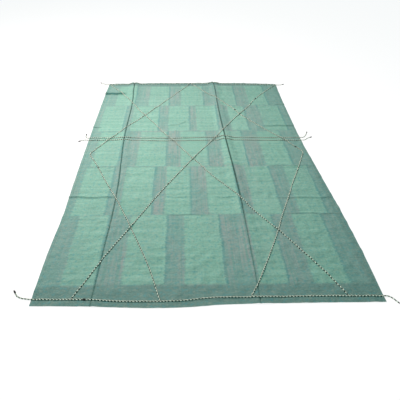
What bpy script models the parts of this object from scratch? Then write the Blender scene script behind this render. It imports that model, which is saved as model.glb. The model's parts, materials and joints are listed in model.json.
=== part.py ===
"""Tie-down fly sheet, laid out flat: a woven cover with a net of braided cords sewn on it.

One cloth with two lengthwise fold creases carries eight braided cords: two along the ends, a pair
across the waist, two long diagonals and two chevrons.  The four crosswise cords run on past both
side edges as short tails with bound tips.

Units are metres.  X runs across the sheet, Y along it and Z up.  The origin is on the ground
under the middle of the sheet.  The cloth is parted at the two creases, which are its hinges.
"""
import bmesh
import bpy
import numpy as np

# Driving sizes
SHEET_LENGTH = 2.704
SHEET_LEFT = -1.000        # x of the sides, as far as the cloth's grid needs them
SHEET_RIGHT = 0.990
CLOTH_THICKNESS = 0.0025
CORD_DIAMETER = 0.0085
FIT_GAP = 0.0003
CORD_BED = 0.0036          # underside of a sewn cord above the underside of the cloth
CREASE_CLEARANCE = 0.005   # the cloth stops this far from a crease
CORD_CLEARANCE = 0.008     # cords stop this far from a crease
COLUMN_WIDTH = 0.11        # of the cloth's grid, away from the creases
CLOTH_ROWS = 19            # points along each panel of the cloth
LINE_STEP = 0.0025         # spacing of a sewn cord's points before they are thinned out
LINE_TOLERANCE = 0.0007    # and how far the thinned line may leave them
SLOPE_STEP = 0.002         # reach to each side for measuring the cloth's slope
HOP_FLAT = 0.011           # a cord is level over another for this far each side of the crossing
HOP_REACH = 0.050          # and is down on the cloth again this far from it
TAIL_END_DIAMETER = 0.0112
TAIL_END_LENGTH = 0.014
TAIL_FALL = 0.035          # a tail is down on the ground this far from the cloth
TIE_THREAD_DIAMETER = 0.0030
TIE_CLEARANCE = 0.0010
ARCH_POINTS = 9            # of a tie, over the top of its cord

CORD_RADIUS = CORD_DIAMETER / 2
CORD_LEVEL = CORD_BED + CORD_RADIUS
HOP_HEIGHT = CORD_DIAMETER + 2 * FIT_GAP

# The two creases: x = at_zero + slope * y.  Each has a pair of soft lips, (y, height) along it.
LEFT_CREASE = {"at_zero": -0.668, "slope": -0.017,
               "lips": [(-1.36, 0.0050), (-0.50, 0.0060), (0.30, 0.0065), (1.36, 0.0065)]}
RIGHT_CREASE = {"at_zero": 0.273, "slope": -0.0235,
                "lips": [(-1.36, 0.0060), (-0.90, 0.0070), (-0.54, 0.0110), (-0.20, 0.0150),
                         (0.10, 0.0180), (0.25, 0.0185), (0.45, 0.0165), (0.75, 0.0130), (1.36, 0.0150)]}
LIP_SECTION = [(0.000, 0.30), (0.005, 0.62), (0.013, 1.00), (0.022, 0.80), (0.036, 0.30), (0.055, 0.00)]

# Outline of the cloth: x of the side edges against y, and y of the end edges against x
LEFT_EDGE = [(-1.352, -1.000), (-1.00, -1.003), (-0.72, -0.992), (-0.43, -0.998), (0.00, -1.004),
             (0.50, -1.008), (1.00, -1.007), (1.352, -1.002)]
RIGHT_EDGE = [(-1.352, 1.000), (-1.03, 1.008), (-0.70, 1.003), (-0.45, 0.992), (-0.15, 0.979),
              (0.20, 0.963), (0.60, 0.965), (1.00, 0.971), (1.352, 0.984)]
NEAR_EDGE = [(-1.01, -1.333), (-0.72, -1.338), (-0.45, -1.348), (-0.30, -1.352), (-0.10, -1.348),
             (0.10, -1.336), (0.60, -1.332), (1.01, -1.332)]
FAR_EDGE = [(-1.01, 1.338), (-0.60, 1.348), (-0.10, 1.352), (0.25, 1.350), (0.60, 1.336), (1.01, 1.308)]

# Sewn cords: the names of their stretches in order, the route, and where they hop over another
SEWN_CORDS = [
    (["near_cord_left", "near_cord_middle", "near_cord_right"],
     [(-0.990, -1.296), (-0.80, -1.299), (-0.65, -1.303), (-0.50, -1.312), (-0.30, -1.315), (-0.15, -1.312),
      (0.03, -1.296), (0.30, -1.297), (0.65, -1.294), (0.988, -1.298)],
     []),
    (["far_cord_left", "far_cord_middle", "far_cord_right"],
     [(-0.990, 1.312), (-0.60, 1.322), (-0.10, 1.326), (0.25, 1.323), (0.60, 1.308), (0.972, 1.282)],
     []),
    (["waist_far_cord_left", "waist_far_cord_middle", "waist_far_cord_right"],
     [(-0.992, 0.240), (-0.80, 0.241), (-0.60, 0.242), (-0.40, 0.233), (-0.22, 0.228), (0.00, 0.236),
      (0.20, 0.237), (0.40, 0.235), (0.70, 0.229), (0.952, 0.225)],
     []),
    (["waist_near_cord_left", "waist_near_cord_middle", "waist_near_cord_right"],
     [(-0.992, 0.206), (-0.75, 0.206), (-0.55, 0.201), (-0.30, 0.191), (0.00, 0.191), (0.20, 0.195),
      (0.40, 0.195), (0.70, 0.187), (0.952, 0.185)],
     []),
    (["diagonal_a_right", "diagonal_a_middle", "diagonal_a_left"],
     [(0.952, 1.262), (0.80, 1.105), (0.67, 0.950), (0.57, 0.795), (0.45, 0.640), (0.35, 0.505),
      (0.27, 0.370), (0.15, 0.205), (0.00, 0.003), (-0.15, -0.220), (-0.30, -0.450), (-0.40, -0.620),
      (-0.50, -0.795), (-0.60, -0.965), (-0.70, -1.155), (-0.770, -1.285)],
     [(0.172, 0.236), (0.141, 0.193), (0.456, 0.648), (-0.043, -0.055), (-0.500, -0.795)]),
    (["diagonal_b_left", "diagonal_b_middle", "diagonal_b_right"],
     [(-0.968, 1.288), (-0.85, 1.140), (-0.75, 1.000), (-0.62, 0.785), (-0.50, 0.605), (-0.40, 0.460),
      (-0.31, 0.310), (-0.20, 0.160), (-0.10, 0.010), (0.00, -0.130), (0.10, -0.280), (0.25, -0.465),
      (0.36, -0.635), (0.51, -0.830), (0.62, -0.990), (0.73, -1.160), (0.795, -1.280)],
     [(-0.251, 0.229), (-0.223, 0.191), (-0.522, 0.638), (0.510, -0.830)]),
    (["left_chevron_far", "left_chevron_side", "left_chevron_near"],
     [(-0.052, 1.309), (-0.13, 1.190), (-0.27, 0.990), (-0.40, 0.800), (-0.52, 0.630), (-0.66, 0.440),
      (-0.80, 0.240), (-0.87, 0.135), (-0.925, 0.050), (-0.945, 0.003), (-0.925, -0.040), (-0.86, -0.145),
      (-0.80, -0.255), (-0.72, -0.395), (-0.64, -0.530), (-0.54, -0.715), (-0.50, -0.795), (-0.45, -0.895),
      (-0.35, -1.105), (-0.278, -1.296)],
     [(-0.800, 0.241), (-0.824, 0.206)]),
    (["right_chevron_far", "right_chevron_side", "right_chevron_near"],
     [(-0.018, 1.310), (0.06, 1.215), (0.16, 1.080), (0.28, 0.920), (0.40, 0.765), (0.46, 0.645),
      (0.52, 0.560), (0.63, 0.415), (0.76, 0.255), (0.85, 0.135), (0.905, 0.060), (0.925, 0.010),
      (0.905, -0.040), (0.84, -0.170), (0.80, -0.250), (0.74, -0.360), (0.66, -0.525), (0.57, -0.700),
      (0.51, -0.830), (0.44, -0.965), (0.36, -1.110), (0.30, -1.215), (0.254, -1.281)],
     [(0.778, 0.227), (0.808, 0.187)]),
]

# Tails: the free cord past the side edge, from where it leaves the cloth to its bound end
TAILS = {
    "tail_near_left": [(-1.006, -1.296), (-1.030, -1.293), (-1.060, -1.288), (-1.088, -1.276),
                       (-1.106, -1.256)],
    "tail_near_right": [(1.009, -1.299), (1.027, -1.301), (1.046, -1.312), (1.063, -1.334), (1.084, -1.352),
                        (1.108, -1.360)],
    "tail_far_left": [(-1.008, 1.313), (-1.030, 1.318), (-1.055, 1.329), (-1.080, 1.343), (-1.103, 1.359)],
    "tail_far_right": [(0.990, 1.281), (1.010, 1.281), (1.030, 1.284), (1.048, 1.290), (1.066, 1.298)],
    "tail_waist_far_left": [(-1.012, 0.240), (-1.026, 0.242), (-1.038, 0.250), (-1.044, 0.266),
                            (-1.045, 0.288)],
    "tail_waist_near_left": [(-1.012, 0.206), (-1.028, 0.209), (-1.046, 0.210), (-1.064, 0.205),
                             (-1.082, 0.196)],
    "tail_waist_far_right": [(0.970, 0.225), (0.990, 0.228), (1.012, 0.243), (1.032, 0.270), (1.050, 0.304)],
    "tail_waist_near_right": [(0.970, 0.185), (0.990, 0.187), (1.012, 0.200), (1.036, 0.219), (1.062, 0.230)],
}

# Thread ties: the cord stretch that each one binds to the cloth, and about where
TIES = {
    "tie_left_chevron": ("left_chevron_side", (-0.8425, -0.1770)),
    "tie_near_cord": ("near_cord_left", (-0.7000, -1.3015)),
    "tie_diagonal_a_near": ("diagonal_a_middle", (-0.2520, -0.3750)),
    "tie_diagonal_a_far": ("diagonal_a_right", (0.6760, 0.9580)),
    "tie_right_chevron_far": ("right_chevron_side", (0.4220, 0.7240)),
    "tie_right_chevron_side": ("right_chevron_side", (0.8860, 0.0870)),
    "tie_waist_far_cord": ("waist_far_cord_right", (0.7000, 0.2290)),
}

GROUND_CLOTH = (0.33, 0.47, 0.42, 1.0)
BRAID = (0.30, 0.32, 0.27, 1.0)
BLACK_THREAD = (0.03, 0.04, 0.035, 1.0)


def clear_scene():
    for item in list(bpy.data.objects):
        bpy.data.objects.remove(item, do_unlink=True)


def new_collection(name):
    group = bpy.data.collections.new(name)
    bpy.context.scene.collection.children.link(group)
    return group


def paint(item, colour, roughness):
    """Give one object its own Principled material."""
    finish = bpy.data.materials.new(item.name + "_material")
    finish.use_nodes = True
    shader = finish.node_tree.nodes["Principled BSDF"]
    shader.inputs["Base Color"].default_value = colour
    shader.inputs["Roughness"].default_value = roughness
    shader.inputs["Metallic"].default_value = 0.0
    item.data.materials.append(finish)


def smooth_curve(route, per_span=12):
    """Points on a Catmull-Rom curve through the route's own points."""
    knots = np.array(route, dtype=float)
    padded = np.vstack([2 * knots[0] - knots[1], knots, 2 * knots[-1] - knots[-2]])
    steps = np.linspace(0.0, 1.0, per_span, endpoint=False)[:, None]
    spans = []
    for before, start, end, after in zip(padded, padded[1:], padded[2:], padded[3:]):
        spans.append(0.5 * (2 * start + (end - before) * steps
                            + (2 * before - 5 * start + 4 * end - after) * steps ** 2
                            + (3 * start - before - 3 * end + after) * steps ** 3))
    spans.append(knots[-1:])
    return np.vstack(spans)


def evenly_spaced(line, spacing):
    """The same line with its points about one spacing apart."""
    steps = np.linalg.norm(np.diff(line, axis=0), axis=1)
    distance = np.concatenate([[0.0], np.cumsum(steps)])
    places = np.linspace(0.0, distance[-1], round(distance[-1] / spacing) + 1)
    return np.column_stack([np.interp(places, distance, line[:, axis]) for axis in range(line.shape[1])])


def edge_at(edge, where):
    """Value of an outline edge at one place along it."""
    line = smooth_curve(edge)
    return np.interp(where, line[:, 0], line[:, 1])


def crease_x(crease, y):
    return crease["at_zero"] + crease["slope"] * y


def rise(x, y):
    """Height of the cloth's underside above the ground: zero but for the lips along the creases."""
    height = 0.0
    for crease in (LEFT_CREASE, RIGHT_CREASE):
        lip = np.interp(y, *zip(*crease["lips"]))
        height = height + lip * np.interp(abs(x - crease_x(crease, y)), *zip(*LIP_SECTION))
    return height


def across_stations(left, right):
    """Steps across a strip of cloth from 0 to 1, close together where it starts or ends at a crease."""
    width = right["x"] - left["x"]
    lip_steps = [distance - CREASE_CLEARANCE for distance, _ in LIP_SECTION if distance >= CREASE_CLEARANCE]
    start = [step / width for step in lip_steps] if left["crease"] else [0.0]
    end = [1.0 - step / width for step in reversed(lip_steps)] if right["crease"] else [1.0]
    flat_columns = round((end[0] - start[-1]) * width / COLUMN_WIDTH)
    flat = np.linspace(start[-1], end[0], flat_columns + 1)[1:-1]
    return np.concatenate([start, flat, end])


def warped_grid(mesh, across, along, place):
    """Add a grid primitive to a bmesh and move each of its points to place(step across, step along)."""
    grid = bmesh.ops.create_grid(mesh, x_segments=len(across) - 1, y_segments=len(along) - 1, size=0.5)
    for vertex in grid["verts"]:
        column = round((vertex.co.x + 0.5) * (len(across) - 1))
        row = round((vertex.co.y + 0.5) * (len(along) - 1))
        vertex.co = place(across[column], along[row])


def finish_sheet(mesh, name, thickness, group, colour):
    """Turn open grids into one object whose Solidify gives the cloth its thickness, upwards."""
    bmesh.ops.recalc_face_normals(mesh, faces=mesh.faces)
    if mesh.faces[0].normal.z < 0:
        bmesh.ops.reverse_faces(mesh, faces=mesh.faces)
    data = bpy.data.meshes.new(name)
    mesh.to_mesh(data)
    mesh.free()
    item = bpy.data.objects.new(name, data)
    group.objects.link(item)
    wall = item.modifiers.new("Solidify", "SOLIDIFY")
    wall.thickness = thickness
    wall.offset = 1.0
    paint(item, colour, 0.9)


def make_cloth(name, left_side, right_side, group):
    """One panel of the cloth between two sides, each a crease or an outer edge."""
    def side_x(side, y):
        if side["crease"]:
            return crease_x(side["crease"], y) + side["clear"]
        return edge_at(side["edge"], y)

    def place(across, along):
        y = (along - 0.5) * SHEET_LENGTH
        x = (1 - across) * side_x(left_side, y) + across * side_x(right_side, y)
        y = (1 - along) * edge_at(NEAR_EDGE, x) + along * edge_at(FAR_EDGE, x)
        return (x, y, rise(x, y))

    mesh = bmesh.new()
    across = across_stations(left_side, right_side)
    warped_grid(mesh, across, np.linspace(0.0, 1.0, CLOTH_ROWS), place)
    finish_sheet(mesh, name, CLOTH_THICKNESS, group, GROUND_CLOTH)


def make_cloths(group):
    left_x, right_x = LEFT_CREASE["at_zero"], RIGHT_CREASE["at_zero"]
    outer_left = {"crease": None, "edge": LEFT_EDGE, "x": SHEET_LEFT}
    outer_right = {"crease": None, "edge": RIGHT_EDGE, "x": SHEET_RIGHT}
    before_left = {"crease": LEFT_CREASE, "clear": -CREASE_CLEARANCE, "x": left_x}
    after_left = {"crease": LEFT_CREASE, "clear": CREASE_CLEARANCE, "x": left_x}
    before_right = {"crease": RIGHT_CREASE, "clear": -CREASE_CLEARANCE, "x": right_x}
    after_right = {"crease": RIGHT_CREASE, "clear": CREASE_CLEARANCE, "x": right_x}
    make_cloth("cloth_left", outer_left, before_left, group)
    make_cloth("cloth_middle", after_left, before_right, group)
    make_cloth("cloth_right", after_right, outer_right, group)


def thin_out(points):
    """Keep only the points that the shape of a line needs, by repeated splitting at the farthest one."""
    keep = {0, len(points) - 1}
    stack = [(0, len(points) - 1)]
    while stack:
        first, last = stack.pop()
        if last - first < 2:
            continue
        chord = points[last] - points[first]
        offsets = points[first + 1:last] - points[first]
        along = np.clip(offsets @ chord / (chord @ chord), 0.0, 1.0)
        distance = np.linalg.norm(offsets - along[:, None] * chord, axis=1)
        worst = int(np.argmax(distance))
        if distance[worst] > LINE_TOLERANCE:
            middle = first + 1 + worst
            keep.add(middle)
            stack += [(first, middle), (middle, last)]
    return points[sorted(keep)]


def make_tube(name, points, diameter, group, colour):
    """A tube along a line of points, with filled ends."""
    curve = bpy.data.curves.new(name, "CURVE")
    curve.dimensions = "3D"
    curve.bevel_depth = diameter / 2
    curve.bevel_resolution = 2
    curve.use_fill_caps = True
    spline = curve.splines.new("POLY")
    spline.points.add(len(points) - 1)
    for knot, place in zip(spline.points, points):
        knot.co = (*place, 1.0)
    item = bpy.data.objects.new(name, curve)
    group.objects.link(item)
    paint(item, colour, 0.8)


def sewn_height(x, y, hops):
    """Height of a sewn cord's middle: bedded on the cloth, raised where it hops over another cord."""
    offsets = np.linspace(-CORD_RADIUS, CORD_RADIUS, 9)
    slopes = (rise(x + offsets + SLOPE_STEP, y) - rise(x + offsets - SLOPE_STEP, y)) / (2 * SLOPE_STEP)
    cloth_top = rise(x + offsets, y) + CLOTH_THICKNESS * np.hypot(1.0, slopes)
    level = np.max(cloth_top + np.sqrt(CORD_RADIUS ** 2 - offsets ** 2)) + CORD_BED - CLOTH_THICKNESS
    lift = 0.0
    for hop_x, hop_y in hops:
        reach = np.clip((HOP_REACH - np.hypot(x - hop_x, y - hop_y)) / (HOP_REACH - HOP_FLAT), 0.0, 1.0)
        lift = max(lift, reach * reach * (3 - 2 * reach))
    return level + HOP_HEIGHT * lift


def panel_at(x, y):
    """Which panel a cord point is on, or None where it is too near a crease."""
    left_line = crease_x(LEFT_CREASE, y)
    right_line = crease_x(RIGHT_CREASE, y)
    if min(abs(x - left_line), abs(x - right_line)) < CORD_CLEARANCE:
        return None
    return "left" if x < left_line else "middle" if x < right_line else "right"


def make_sewn_cords(group):
    """Each sewn cord, parted at the creases that it crosses."""
    for names, route, hops in SEWN_CORDS:
        line = evenly_spaced(smooth_curve(route, per_span=24), LINE_STEP)
        panels = [panel_at(x, y) for x, y in line]
        stretches = []
        for index, (x, y) in enumerate(line):
            if panels[index] is None:
                continue
            if index == 0 or panels[index] != panels[index - 1]:
                stretches.append([])
            stretches[-1].append((x, y, sewn_height(x, y, hops)))
        for name, stretch in zip(names, stretches, strict=True):
            make_tube(name, thin_out(np.array(stretch)), CORD_DIAMETER, group, BRAID)


def make_tails(group):
    """The free ends, each lying down to the ground past the cloth's edge, and their bound tips."""
    for name, route in TAILS.items():
        line = smooth_curve(route, per_span=5)
        steps = np.linalg.norm(np.diff(line, axis=0), axis=1)
        distance = np.concatenate([[0.0], np.cumsum(steps)])
        ground = TAIL_END_DIAMETER / 2 + FIT_GAP
        fall = np.clip(distance / TAIL_FALL, 0.0, 1.0)
        heights = CORD_LEVEL + (ground - CORD_LEVEL) * fall * fall * (3 - 2 * fall)
        points = np.column_stack([line, heights])
        make_tube(name, points[::2], CORD_DIAMETER, group, BRAID)
        make_tube(name.replace("tail_", "tip_"), tip_line(points), TAIL_END_DIAMETER, group, BLACK_THREAD)


def tip_line(points):
    """Where a tail's bound tip starts and ends: a short plug of thread on the cord's cut end."""
    direction = points[-1] - points[-2]
    direction /= np.linalg.norm(direction)
    start = points[-1] + direction * FIT_GAP
    return np.array([start, start + direction * TAIL_END_LENGTH])


def make_ties(group):
    """Arches of black thread over the cords, from the cloth on one side to the other."""
    arch_radius = CORD_RADIUS + TIE_CLEARANCE + TIE_THREAD_DIAMETER / 2
    foot = CLOTH_THICKNESS + TIE_CLEARANCE + TIE_THREAD_DIAMETER / 2
    turns = np.linspace(0.0, np.pi, ARCH_POINTS)
    offsets = np.concatenate([[arch_radius], arch_radius * np.cos(turns), [-arch_radius]])
    heights = np.concatenate([[foot], CORD_LEVEL + arch_radius * np.sin(turns), [foot]])
    routes = {name: route for names, route, _ in SEWN_CORDS for name in names}
    for name, (cord, place) in TIES.items():
        line = evenly_spaced(smooth_curve(routes[cord]), LINE_STEP)
        nearest = int(np.argmin(np.hypot(*(line - place).T)))
        direction = line[nearest + 1] - line[nearest - 1]
        sideways = np.array([-direction[1], direction[0]]) / np.hypot(*direction)
        arch = np.column_stack([line[nearest] + offsets[:, None] * sideways, heights])
        make_tube(name, arch, TIE_THREAD_DIAMETER, group, BLACK_THREAD)


def build():
    clear_scene()
    group = new_collection("fly_sheet")
    make_cloths(group)
    make_sewn_cords(group)
    make_tails(group)
    make_ties(group)


build()
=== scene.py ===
"""Tie-down fly sheet, laid out flat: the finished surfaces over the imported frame.

One mint cloth with two lengthwise fold creases, blocks woven into it and turned hems.  Eight
braided cords are sewn over it, and the four crosswise ones run on past the sides as short tails.
Metres; X across the sheet, Y along it, Z up from the ground.
"""
import json
import math

import bpy
import numpy as np
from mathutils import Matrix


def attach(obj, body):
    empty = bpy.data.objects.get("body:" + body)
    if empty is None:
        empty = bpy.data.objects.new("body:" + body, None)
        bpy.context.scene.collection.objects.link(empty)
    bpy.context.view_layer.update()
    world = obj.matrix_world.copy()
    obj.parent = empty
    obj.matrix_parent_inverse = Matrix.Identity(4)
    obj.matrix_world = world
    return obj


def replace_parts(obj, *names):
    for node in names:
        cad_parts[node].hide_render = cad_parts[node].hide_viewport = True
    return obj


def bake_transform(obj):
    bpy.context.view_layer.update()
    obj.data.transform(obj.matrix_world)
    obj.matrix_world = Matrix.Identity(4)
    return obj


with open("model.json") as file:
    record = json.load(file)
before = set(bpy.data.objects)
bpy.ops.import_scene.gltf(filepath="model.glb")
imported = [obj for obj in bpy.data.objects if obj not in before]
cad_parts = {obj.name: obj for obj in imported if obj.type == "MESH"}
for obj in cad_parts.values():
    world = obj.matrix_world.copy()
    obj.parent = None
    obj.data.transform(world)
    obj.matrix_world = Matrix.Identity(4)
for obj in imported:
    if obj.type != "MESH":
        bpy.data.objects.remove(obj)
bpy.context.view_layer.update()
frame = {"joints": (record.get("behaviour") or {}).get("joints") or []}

# --------------------------------------
# The lie of the cloth.  The sheet has been kept folded, so it lies with two long creases, each a
# sharp valley between two soft lips, and with short crosswise ridges and a few puckers.
LEFT_EDGE = [(-1.352, -1.0), (-1.0, -1.003), (-0.72, -0.992), (-0.43, -0.998), (0.0, -1.004),
             (0.5, -1.008), (1.0, -1.007), (1.352, -1.002)]
RIGHT_EDGE = [(-1.352, 1.0), (-1.03, 1.008), (-0.7, 1.003), (-0.45, 0.992), (-0.15, 0.979), (0.2, 0.963),
              (0.6, 0.965), (1.0, 0.971), (1.352, 0.984)]
NEAR_EDGE = [(-1.01, -1.333), (-0.72, -1.338), (-0.45, -1.348), (-0.3, -1.352), (-0.1, -1.348),
             (0.1, -1.336), (0.6, -1.332), (1.01, -1.332)]
FAR_EDGE = [(-1.01, 1.338), (-0.6, 1.348), (-0.1, 1.352), (0.25, 1.35), (0.6, 1.336), (1.01, 1.308)]
CREST = 0.009  # a lip's crest is this far from the valley line
LIP_REACH = 0.085  # and the cloth is flat again this far from it
VALLEY_SHARE = 0.1  # of a lip's height is left in the bottom of the valley
LEFT_CREASE = {
    "line": [(-1.36, -0.66), (-1.0, -0.65), (-0.7, -0.64), (-0.4, -0.643), (-0.1, -0.66), (0.15, -0.675),
             (0.38, -0.68), (0.7, -0.675), (0.95, -0.679), (1.15, -0.693), (1.36, -0.701)],
    "before": [(-1.36, 0.004), (-0.6, 0.006), (0.2, 0.007), (0.9, 0.009), (1.36, 0.014)],
    "after": [(-1.36, 0.005), (-0.6, 0.008), (0.2, 0.009), (0.9, 0.01), (1.36, 0.015)]}
RIGHT_CREASE = {
    "line": [(-1.36, 0.295), (-0.9, 0.3), (-0.5, 0.296), (-0.2, 0.285), (0.05, 0.272), (0.3, 0.26),
             (0.6, 0.251), (0.9, 0.248), (1.2, 0.249), (1.36, 0.241)],
    "before": [(-1.36, 0.005), (-0.9, 0.006), (-0.5, 0.01), (-0.2, 0.014), (0.1, 0.019), (0.28, 0.021),
               (0.5, 0.018), (0.9, 0.015), (1.36, 0.017)],
    "after": [(-1.36, 0.006), (-0.9, 0.007), (-0.5, 0.012), (-0.2, 0.015), (0.1, 0.017), (0.28, 0.018),
              (0.5, 0.015), (0.9, 0.012), (1.36, 0.014)]}
# Crosswise ridges: start and end (x, y), height, half width, and the painted shade on their near side
RIDGES = [
    ((-1.12, 1.094), (-0.74, 1.108), 0.0135, 0.05, 1.0),
    ((-1.07, 0.425), (-0.91, 0.42), 0.0056, 0.017, 0.48),
    ((-1.12, -0.506), (-0.58, -0.514), 0.0076, 0.02, 0.4),
    ((0.55, -0.526), (1.03, -0.532), 0.0052, 0.018, 0.16),
    ((-1.0, -0.16), (-0.24, -0.166), 0.003, 0.022, 0.1),
    ((0.52, -0.158), (1.02, -0.166), 0.0036, 0.022, 0.12),
    ((0.6, 0.428), (1.02, 0.434), 0.0076, 0.022, 0.4),
    ((0.84, 0.836), (1.02, 0.838), 0.0064, 0.017, 0.35),
    ((-0.3, -0.682), (0.07, -0.69), 0.0036, 0.014, 0.16),
    ((0.54, -0.676), (1.03, -0.69), 0.0038, 0.015, 0.16),
    ((-0.29, -0.512), (-0.06, -0.514), 0.0034, 0.013, 0.12),
    ((0.07, -0.52), (0.27, -0.516), 0.0038, 0.014, 0.12),
    ((-0.285, 0.448), (-0.13, 0.47), 0.0066, 0.016, 0.3),
    ((-0.175, 0.456), (-0.095, 0.53), 0.006, 0.015, 0.25),
    ((-0.215, -0.328), (-0.135, -0.372), 0.006, 0.015, 0.22),
    ((-0.12, -1.195), (-0.19, -1.295), 0.005, 0.014, 0.15),
    ((-0.62, 0.72), (-0.5, 0.56), 0.0026, 0.016, 0.0),
    ((-0.43, 0.56), (-0.32, 0.39), 0.0028, 0.016, 0.0),
    ((0.27, 0.915), (0.43, 0.77), 0.003, 0.016, 0.0),
    ((-0.06, 1.28), (0.08, 1.18), 0.003, 0.016, 0.0),
    ((-0.24, -0.02), (-0.15, -0.065), 0.0038, 0.014, 0.1),
    ((0.04, 0.555), (0.17, 0.58), 0.0034, 0.014, 0.08),
    ((-0.53, -0.295), (-0.43, -0.335), 0.0034, 0.014, 0.08),
    ((0.41, 0.175), (0.55, 0.145), 0.0034, 0.014, 0.08)]
RIDGE_SWAY = 0.0035  # a ridge's line wanders this far to each side
RIDGE_SWAY_TURNS = 31.0  # in radians a metre along it
RIDGE_FADE = 0.25  # share of a ridge's length over which it rises at each end
RIDGE_POWER = 1.5  # of the share of its height that is left on its flanks
CRUMPLE_WAVES = 26  # waves that add up to the cloth's crumple
CRUMPLE_LENGTHS = (0.055, 0.17)  # shortest and longest
CRUMPLE_HEIGHT = 0.00028  # of each one
CRUMPLE_SWAY = 0.03  # how far the waves are bent
SWELL_HEIGHT = 0.0012
SWELLS = ((5.1, 2.3, 0.6), (-3.1, 7.7, 0.0))  # radians a metre in X and Y, and phase
END_HEM = 0.036  # width of the turned hems at the two ends
SIDE_HEM = 0.024  # and along the sides
HEM_RISE = 0.0009  # extra thickness of a turned hem
HEM_STEP_WIDTH = 0.003  # it comes in over this width at the hem's inner edge
CLOTH_THICKNESS = 0.0016
REST_GAP = 0.0004  # between the cloth's underside and the ground


def smooth_curve(route, per_span=12):
    """Points on cubics through the route's own points, per_span to each span.

    The slope at a point is the way from the point before it to the point after it, divided by the
    distance along both spans, so that a short span beside a long one doesn't turn back on itself.
    """
    knots = np.array(route, dtype=float)
    padded = np.vstack([2 * knots[0] - knots[1], knots, 2 * knots[-1] - knots[-2]])
    gaps = np.linalg.norm(np.diff(padded, axis=0), axis=1)
    slopes = (padded[2:] - padded[:-2]) / (gaps[1:] + gaps[:-1])[:, None]
    steps = np.linspace(0.0, 1.0, per_span, endpoint=False)[:, None]
    ease = steps * steps * (3.0 - 2.0 * steps)
    spans = []
    for start, end, slope, next_slope, gap in zip(knots, knots[1:], slopes, slopes[1:], gaps[1:]):
        bend = slope * steps * (1.0 - steps) ** 2 - next_slope * steps ** 2 * (1.0 - steps)
        spans.append(start + (end - start) * ease + gap * bend)
    spans.append(knots[-1:])
    return np.vstack(spans)


def read_off(points, where):
    """Value at each place on the smooth line through a few (place, value) points."""
    line = smooth_curve(points)
    return np.interp(where, line[:, 0], line[:, 1])


def smooth_step(value):
    """0 below 0, 1 above 1 and 3v^2 - 2v^3 between."""
    value = np.clip(value, 0.0, 1.0)
    return value * value * (3.0 - 2.0 * value)


def crease_height(crease, x, y):
    """Quarter sine from the valley up to the crest of the lip, then half a cosine down to flat."""
    off = x - read_off(crease["line"], y)
    lip = np.where(off < 0.0, read_off(crease["before"], y), read_off(crease["after"], y))
    away = np.abs(off)
    inner = VALLEY_SHARE + (1.0 - VALLEY_SHARE) * np.sin(0.5 * np.pi * np.clip(away / CREST, 0.0, 1.0))
    outer = 0.5 + 0.5 * np.cos(np.pi * np.clip((away - CREST) / (LIP_REACH - CREST), 0.0, 1.0))
    return lip * np.where(away < CREST, inner, outer)


def along_ridge(start, end, x, y):
    """Signed distance of each point to the far side of a ridge's line, and a fade to 0 at its ends."""
    along_x, along_y = end[0] - start[0], end[1] - start[1]
    length = math.hypot(along_x, along_y)
    along = ((x - start[0]) * along_x + (y - start[1]) * along_y) / length
    offset = ((y - start[1]) * along_x - (x - start[0]) * along_y) / length
    offset = offset + RIDGE_SWAY * np.sin(RIDGE_SWAY_TURNS * along + 40.0 * start[1])
    rise = RIDGE_FADE * length
    return offset, smooth_step(along / rise) * smooth_step((length - along) / rise)


def ridge_height(ridge, x, y):
    """A soft roof along one line: height * fade * (1 - |offset| / half width) to a power."""
    start, end, height, half_width, _ = ridge
    offset, fade = along_ridge(start, end, x, y)
    return height * fade * np.clip(1.0 - np.abs(offset) / half_width, 0.0, 1.0) ** RIDGE_POWER


# Each wave of the crumple: radians a metre in X and Y, and phase
chance = np.random.default_rng(11)
heading = chance.uniform(0.0, np.pi, CRUMPLE_WAVES)
turns = 2.0 * np.pi / chance.uniform(*CRUMPLE_LENGTHS, CRUMPLE_WAVES)
phases = chance.uniform(0.0, 2.0 * np.pi, CRUMPLE_WAVES)
WAVES = np.column_stack([turns * np.cos(heading), turns * np.sin(heading), phases])


def crumple(x, y):
    """The sum of the waves, bent by a slow sway, with its hollows made broad and its tops narrow."""
    total = np.zeros_like(x)
    sway_x = x + CRUMPLE_SWAY * np.sin(9.0 * y + 2.0 * x)
    sway_y = y + CRUMPLE_SWAY * np.sin(8.0 * x - 3.0 * y)
    for turns_x, turns_y, phase in WAVES:
        total = total + np.sin(turns_x * sway_x + turns_y * sway_y + phase)
    usual = math.sqrt(0.5 * CRUMPLE_WAVES)
    spread = total / usual
    return CRUMPLE_HEIGHT * usual * (1.5 + spread + 0.5 * np.abs(spread))


def cloth_bottom(x, y):
    """Height of the cloth's underside: slow swells, crumple, creases and ridges, above the ground."""
    swell = SWELL_HEIGHT
    for turns_x, turns_y, phase in SWELLS:
        swell = swell * (0.5 + 0.5 * np.sin(turns_x * x + turns_y * y + phase))
    height = REST_GAP + swell + np.clip(crumple(x, y), 0.0, None)
    height = height + crease_height(LEFT_CREASE, x, y) + crease_height(RIGHT_CREASE, x, y)
    for ridge in RIDGES:
        height = height + ridge_height(ridge, x, y)
    return height


def hem_share(x, y):
    """1 on the turned hems, 0 on the single cloth, with a soft step at each hem's inner edge."""
    inward = np.stack([(y - read_off(NEAR_EDGE, x)) - END_HEM, (read_off(FAR_EDGE, x) - y) - END_HEM,
                       (x - read_off(LEFT_EDGE, y)) - SIDE_HEM, (read_off(RIGHT_EDGE, y) - x) - SIDE_HEM])
    return 1.0 - smooth_step(np.min(inward, axis=0) / HEM_STEP_WIDTH + 0.5)


def cloth_top(x, y):
    """Height of the cloth's upper face."""
    return cloth_bottom(x, y) + CLOTH_THICKNESS + HEM_RISE * hem_share(x, y)
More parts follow.
